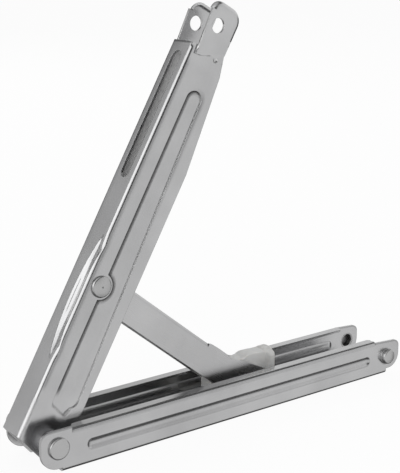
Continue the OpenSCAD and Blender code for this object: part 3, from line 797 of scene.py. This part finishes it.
# %% A tree that sweeps an outline about the width of the hinge
def turned_tree():
    """Rolls a grid about an axis along y, reading radius and height off the outline given."""
    tree = bpy.data.node_groups.new("turned_part", "GeometryNodeTree")
    face = tree.interface
    for title, kind, value in [
            ("Outline", "Geometry", None), ("Around", "Int", 64), ("Along", "Int", 160),
            ("Centre", "Vector", None), ("Bore Share", "Float", 0.0),
            ("Finish", "Material", None), ("Bore Finish", "Material", None)]:
        socket = face.new_socket(title, in_out="INPUT", socket_type="NodeSocket" + kind)
        if value is not None:
            socket.default_value = value
    face.new_socket("Part", in_out="OUTPUT", socket_type="NodeSocketGeometry")
    link = tree.links.new
    start, end = add(tree, "NodeGroupInput", -1400), add(tree, "NodeGroupOutput", 1400)

    # a flat grid, whose x becomes the turn and whose y becomes the way along the outline
    one_more = add(tree, "ShaderNodeMath", -1200, 0, operation="ADD")
    one_more.inputs[1].default_value = 1.0
    sheet = add(tree, "GeometryNodeMeshGrid", -1000, 0)
    link(start.outputs["Around"], one_more.inputs[0])
    link(one_more.outputs[0], sheet.inputs["Vertices X"])
    link(start.outputs["Along"], sheet.inputs["Vertices Y"])
    place = add(tree, "GeometryNodeInputPosition", -1000, -300)
    split = add(tree, "ShaderNodeSeparateXYZ", -800, -300)
    link(place.outputs[0], split.inputs[0])
    turn = add(tree, "ShaderNodeMath", -600, -200, operation="MULTIPLY")
    turn.inputs[1].default_value = 2 * math.pi
    along = add(tree, "ShaderNodeMath", -600, -400, operation="ADD")
    along.inputs[1].default_value = 0.5
    link(split.outputs["X"], turn.inputs[0])
    link(split.outputs["Y"], along.inputs[0])
    keep = add(tree, "GeometryNodeCaptureAttribute", -600, 100)
    keep.capture_items.new("FLOAT", "share")
    link(sheet.outputs["Mesh"], keep.inputs["Geometry"])
    link(along.outputs[0], keep.inputs["share"])

    # radius and height read off the outline, and swept round
    line = add(tree, "GeometryNodeMeshToCurve", -600, -650)
    read = add(tree, "GeometryNodeSampleCurve", -400, -500, mode="FACTOR", use_all_curves=True)
    profile = add(tree, "ShaderNodeSeparateXYZ", -200, -500)
    swept = add(tree, "ShaderNodeCombineXYZ", 200, -300)
    link(start.outputs["Outline"], line.inputs[0])
    link(line.outputs[0], read.inputs["Curves"])
    link(along.outputs[0], read.inputs["Factor"])
    link(read.outputs["Position"], profile.inputs[0])
    for operation, axis, y in [("COSINE", "X", -100), ("SINE", "Z", -300)]:
        angle = add(tree, "ShaderNodeMath", -400, y, operation=operation)
        reach = add(tree, "ShaderNodeMath", 0, y, operation="MULTIPLY")
        link(turn.outputs[0], angle.inputs[0])
        link(profile.outputs["X"], reach.inputs[0])
        link(angle.outputs[0], reach.inputs[1])
        link(reach.outputs[0], swept.inputs[axis])
    link(profile.outputs["Y"], swept.inputs["Y"])
    moved = add(tree, "ShaderNodeVectorMath", 400, -300, operation="ADD")
    link(swept.outputs[0], moved.inputs[0])
    link(start.outputs["Centre"], moved.inputs[1])
    shape = add(tree, "GeometryNodeSetPosition", 600)
    link(keep.outputs["Geometry"], shape.inputs["Geometry"])
    link(moved.outputs[0], shape.inputs["Position"])

    # seam and poles closed, and the two finishes laid on
    weld = add(tree, "GeometryNodeMergeByDistance", 750)
    weld.inputs["Distance"].default_value = 0.002 * MM
    smooth = add(tree, "GeometryNodeSetShadeSmooth", 900)
    real = add(tree, "GeometryNodeRealizeInstances", 1000)
    outer = add(tree, "GeometryNodeSetMaterial", 1100)
    inner = add(tree, "GeometryNodeSetMaterial", 1250)
    in_bore = add(tree, "FunctionNodeCompare", 1000, -300, data_type="FLOAT", operation="LESS_THAN")
    link(keep.outputs["share"], in_bore.inputs["A"])
    link(start.outputs["Bore Share"], in_bore.inputs["B"])
    link(in_bore.outputs[0], inner.inputs["Selection"])
    link(start.outputs["Finish"], outer.inputs["Material"])
    link(start.outputs["Bore Finish"], inner.inputs["Material"])
    chain = [shape, weld, smooth, real, outer, inner, end]
    for a, b in zip(chain, chain[1:]):
        link(a.outputs[0], b.inputs[0])
    return tree


TURNED = turned_tree()
print("tree:", TURNED.name, len(TURNED.nodes), "nodes")

# %% [markdown]
# A rivet's outline runs from the middle of its front head, over the rim, down the shank and out
# to the middle of its back head. Heads are struck with a die, so a flat one has a soft rim, and
# a domed one is part of a ball with a small pip from the punch.

# %% Outlines, as radius and distance along the width, in millimetres
FRONT, BACK = -1, 1
BALL_ANGLE = 12  # degrees from the middle of a dome to where its rim starts


def round_corner(radius, height, r, start, turn, steps=8):
    """Points on an arc about a centre, from one angle on by a turn, in degrees."""
    angles = [math.radians(start + turn * k / steps) for k in range(steps + 1)]
    return [(radius + r * math.cos(a), height + r * math.sin(a)) for a in angles]


def flat_head(radius, height, soft, seat, side):
    """Half outline of a flat head, from its middle out to its seat."""
    rim = round_corner(radius - soft, height - soft, soft, 90, -90)
    return [(r, seat + side * h) for r, h in [(0.0, height)] + rim + [(radius, 0.0)]]


def domed_head(radius, height, seat, side, soft=1.2, pip=0.45, steps=12):
    """Half outline of a domed head with the small pip that the punch leaves in its middle."""
    crown_r = radius - soft
    ball = crown_r / math.sin(math.radians(BALL_ANGLE))
    rings = [crown_r * k / steps for k in range(2, steps + 1)]
    crown = [(r, height - ball + math.sqrt(ball * ball - r ** 2)) for r in rings]
    rim = round_corner(crown_r, crown[-1][1] - soft, soft, 90 - BALL_ANGLE, BALL_ANGLE - 90)
    dent = [(0.0, height - 0.3), (pip * 0.5, height - 0.26), (pip, height - 0.02)]
    return [(r, seat + side * h) for r, h in dent + crown + rim + [(radius, 0.0)]]


def rivet_outline(front, shank, back):
    """A whole rivet: front head, straight shank, back head."""
    return front + [(shank, front[-1][1]), (shank, back[-1][1])] + back[::-1]


print("rim of eight steps:", len(round_corner(5.6, 1.1, 0.7, 90, -90)), "points")

# %% [markdown]
# A finer piece takes the place of a packed one, which is hidden. It rides on the same body and keeps
# its place in its mesh, so the folding still moves it.


# %% Put a finer piece in a node's place
def stand_in(mesh, name, body, stands_for):
    """Makes an object of a finished mesh, riding on a body, in the place of a node."""
    mesh.name = name
    piece = bpy.data.objects.new(name, mesh)
    bpy.context.scene.collection.objects.link(piece)
    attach(piece, body)
    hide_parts(stands_for)
    print(name, len(mesh.polygons), "faces,", len(mesh.materials), "finishes")


def evaluated_mesh(source):
    """The plain mesh that an object's modifiers give. The object itself is then removed."""
    bpy.context.view_layer.update()
    done = source.evaluated_get(bpy.context.evaluated_depsgraph_get())
    plain = bpy.data.meshes.new_from_object(done)
    source.modifiers.clear()
    bpy.data.objects.remove(source)
    return plain


def turn_part(name, outline, centre, body, finish, stands_for, bore_share=0.0):
    """Runs the tree on one outline and keeps the plain mesh, riding on its body."""
    mesh = bpy.data.meshes.new(name + "_outline")
    steps = [(k, k + 1) for k in range(len(outline) - 1)]
    mesh.from_pydata([(r * MM, h * MM, 0.0) for r, h in outline], steps, [])
    source = bpy.data.objects.new(name + "_source", mesh)
    bpy.context.scene.collection.objects.link(source)
    sweep = source.modifiers.new("sweep", "NODES")
    sweep.node_group = TURNED
    values = {"Centre": Vector(centre) * MM, "Bore Share": bore_share,
              "Finish": finish, "Bore Finish": bore_steel}
    for item in TURNED.interface.items_tree:
        if item.item_type == "SOCKET" and item.in_out == "INPUT" and item.name in values:
            sweep[item.identifier] = values[item.name]
    plain = evaluated_mesh(source)
    shell = bmesh.new()
    shell.from_mesh(plain)
    bmesh.ops.recalc_face_normals(shell, faces=shell.faces)
    shell.to_mesh(plain)
    shell.free()
    stand_in(plain, name, body, stands_for)


# %% [markdown]
# Three round parts hold the hinge together. The arms turn on a thick rivet with flat heads, the
# strut hangs from a domed one, and a short pin joins its fork to the slider.

# %% Rivets and the foot pin
STRUT_RIVET_PLACE = (-90.575, 0.0, 98.091)
FOOT_PIN_PLACE = (14.32, 0.0, 12.0)
BASE_FACE, WASHER_FACE, ARM_FACE, STRUT_FACE = 19.75, 21.25, 9.75, 6.75  # from the middle

pivot_rivet = rivet_outline(
    front=flat_head(radius=6.3, height=1.8, soft=0.7, seat=-BASE_FACE, side=FRONT), shank=4.0,
    back=flat_head(radius=5.6, height=1.8, soft=0.7, seat=WASHER_FACE, side=BACK))
strut_rivet = rivet_outline(
    front=domed_head(radius=6.3, height=2.2, seat=-ARM_FACE, side=FRONT), shank=3.0,
    back=domed_head(radius=6.3, height=2.2, seat=ARM_FACE, side=BACK))
foot_pin = rivet_outline(
    front=flat_head(radius=4.5, height=0.8, soft=0.35, seat=-STRUT_FACE, side=FRONT), shank=3.0,
    back=flat_head(radius=4.5, height=0.8, soft=0.35, seat=STRUT_FACE, side=BACK))
turn_part("turned_pivot_rivet", pivot_rivet, PIVOT_PLACE, "base",
          rivet_steel, "pivot_rivet")
turn_part("turned_strut_rivet", strut_rivet, STRUT_RIVET_PLACE, "upper_arm",
          rivet_steel, "strut_rivet")
turn_part("turned_foot_pin", foot_pin, FOOT_PIN_PLACE, "strut",
          rivet_steel, "foot_pin")

# %% [markdown]
# At its far end each plate of the lower arm has a closed bush, pressed in from outside, with a foot, a
# neck and a low cap. Its bore opens inwards, and the tree gives the first share of the outline a
# darker finish of its own, which is painted shade.

# %% Bushes
BUSH_PLACE = (123.7, 0.0, 12.3)
BORE_SHARE = 0.38  # of the outline's length


def bush_outline(side):
    """From the bottom of the bore, out over the mouth, along the outside to the closed face."""
    bore = [(0.0, 21.9), (4.2, 21.9), (4.2, 18.55), (4.5, 18.25)]
    foot = ([(5.1, 18.25), (5.1, 19.75)] + round_corner(5.1, 20.0, 0.25, 270, 90, 4)
            + round_corner(5.1, 20.4, 0.25, 0, 90, 4))
    cap = ([(4.75, 20.7)] + round_corner(3.95, 22.4, 0.8, 0, 75)
           + [(3.4, 23.3), (2.0, 23.5), (0.0, 23.6)])
    return [(r, side * h) for r, h in bore + foot + cap]


for side, name in ((FRONT, "front"), (BACK, "back")):
    turn_part("turned_" + name + "_bush", bush_outline(side), BUSH_PLACE, "base",
              bush_steel, name + "_end_bush", bore_share=BORE_SHARE)

# %% [markdown]
# The press pushes the sheet in beside the front bend, and drags the bend aside where the hollow
# starts and ends. The plain solid has the hollow's core. Here a copy of the arm is cut into a
# fine net there, and the outer face of the sheet is pushed in further by one smooth field. The
# inner face stays, because the strut folds close under it. Sculpting by hand would do it too,
# but a field can be set by its width, its depth and its bow.

# %% The field of the hollow
HOLLOW_DEPTH = 0.75 * MM
HOLLOW_MIDDLE = 80 * MM  # along the arm from the pivot
HOLLOW_BOW = 4.2         # how fast it curves towards the bend, per metre
# Each is low, high and softness: across the arm, along it and out of it
HOLLOW_WIDTH = (-4.6 * MM, -1.4 * MM, 2 * MM)
HOLLOW_LENGTH = (52 * MM, 108 * MM, 12 * MM)
HOLLOW_HEIGHT = (18.2 * MM, 100 * MM, 1.2 * MM)


def ease(value, low, high, soft):
    """One between low and high, falling smoothly to nothing over soft at each end."""
    def step(t):
        t = min(1.0, max(0.0, t))
        return t * t * (3 - 2 * t)
    return step((value - low + soft) / soft) * step((high + soft - value) / soft)


def pressed(point):
    """How far the press pushes a point of the sheet in."""
    reach, width, height = (point - PIVOT).dot(ALONG), point.y, (point - PIVOT).dot(OUT)
    bowed = width + HOLLOW_BOW * (reach - HOLLOW_MIDDLE) ** 2
    return (HOLLOW_DEPTH * ease(bowed, *HOLLOW_WIDTH) * ease(reach, *HOLLOW_LENGTH)
            * ease(height, *HOLLOW_HEIGHT))


floor_of_hollow = PIVOT + ALONG * HOLLOW_MIDDLE + OUT * HOLLOW_HEIGHT[0]
floor_of_hollow.y = HOLLOW_WIDTH[0]
print("deepest push", round(pressed(floor_of_hollow) / MM, 2), "mm")

# %% [markdown]
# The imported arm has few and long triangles, which can't bend. Planes cut its web into small
# faces near the hollow, first across the arm and then along it, and only then is it pressed.
# Subdividing would make faces everywhere. Cutting keeps the rest of the arm as it was packed.

# %% The pressed upper arm
NET_REACH, NET_REACH_STEP = (40, 120), 2  # along the arm, in mm
NET_WIDTH, NET_WIDTH_STEP, NET_WIDTH_CUTS = (-9.6, 2.0), 0.4, 30  # across it, in mm
WEB_ONLY = 16.9 * MM      # the web's faces all lie higher than this
SHARP = math.radians(28)  # edges that turn more than this stay sharp


def press_arm():
    """A copy of the upper arm with the whole hollow pressed in, standing for the node."""
    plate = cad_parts["upper_channel"].data.copy()
    net = bmesh.new()
    net.from_mesh(plate)
    bmesh.ops.remove_doubles(net, verts=net.verts, dist=TOUCHING)

    def near_hollow(face):
        """Whether a face belongs to the web's front half near the hollow."""
        reach = [(v.co - PIVOT).dot(ALONG) for v in face.verts]
        return (all((v.co - PIVOT).dot(OUT) > WEB_ONLY for v in face.verts)
                and min(v.co.y for v in face.verts) < (NET_WIDTH[1] + 0.5) * MM
                and min(reach) < (NET_REACH[1] + 1) * MM and max(reach) > (NET_REACH[0] - 1) * MM)

    def cut(point, normal):
        """Cuts the faces near the hollow, and their edges, along a plane."""
        faces = [face for face in net.faces if near_hollow(face)]
        edges = list({edge for face in faces for edge in face.edges})
        corners = list({corner for face in faces for corner in face.verts})
        bmesh.ops.bisect_plane(net, geom=faces + edges + corners, dist=HAIR,
                               plane_co=point, plane_no=normal)

    for reach in range(NET_REACH[0], NET_REACH[1] + 1, NET_REACH_STEP):
        cut(PIVOT + ALONG * reach * MM, ALONG)
    for k in range(NET_WIDTH_CUTS):
        cut(Vector((0, NET_WIDTH[0] + NET_WIDTH_STEP * k, 0)) * MM, WIDTHWAYS)
    net.normal_update()
    moved = 0
    for vertex in net.verts:
        push = pressed(vertex.co) if vertex.normal.dot(OUT) > 0 else 0.0
        if push > HAIR:
            vertex.co -= OUT * push
            moved += 1
    bmesh.ops.triangulate(net, faces=[f for f in net.faces if len(f.verts) > 4])
    net.to_mesh(plate)
    net.free()
    kept_normals = plate.attributes.get("custom_normal")
    if kept_normals:
        plate.attributes.remove(kept_normals)
    for polygon in plate.polygons:
        polygon.use_smooth = True
    plate.set_sharp_from_angle(angle=SHARP)
    plate.materials.clear()
    plate.materials.append(arm_steel)
    print(moved, "points pressed")
    stand_in(plate, "pressed_upper_arm", "upper_arm", "upper_channel")


press_arm()

# %% [markdown]
# The slider comes out of a mould, so it has no sharp corner anywhere. A Bevel modifier would
# need clean faces. The plain solid is copied, remeshed finely and relaxed, which rounds every
# corner a little and hardly moves its faces.

# %% The moulded slider
GRID = 0.35 * MM
RELAX_PASSES = 12


def mould_slider():
    """A rounded copy of the slider, standing for it."""
    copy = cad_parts["slider_block"].data.copy()
    shell = bmesh.new()
    shell.from_mesh(copy)
    bmesh.ops.remove_doubles(shell, verts=shell.verts, dist=TOUCHING)
    bmesh.ops.recalc_face_normals(shell, faces=shell.faces)
    shell.to_mesh(copy)
    shell.free()
    source = bpy.data.objects.new("slider_source", copy)
    bpy.context.scene.collection.objects.link(source)
    fine = source.modifiers.new("fine", "REMESH")
    fine.mode, fine.voxel_size, fine.use_smooth_shade = "VOXEL", GRID, True
    relax = source.modifiers.new("relax", "SMOOTH")
    relax.factor, relax.iterations = 0.5, RELAX_PASSES
    plain = evaluated_mesh(source)
    plain.materials.clear()
    plain.materials.append(nylon)
    stand_in(plain, "moulded_slider_block", "slider", "slider_block")


mould_slider()
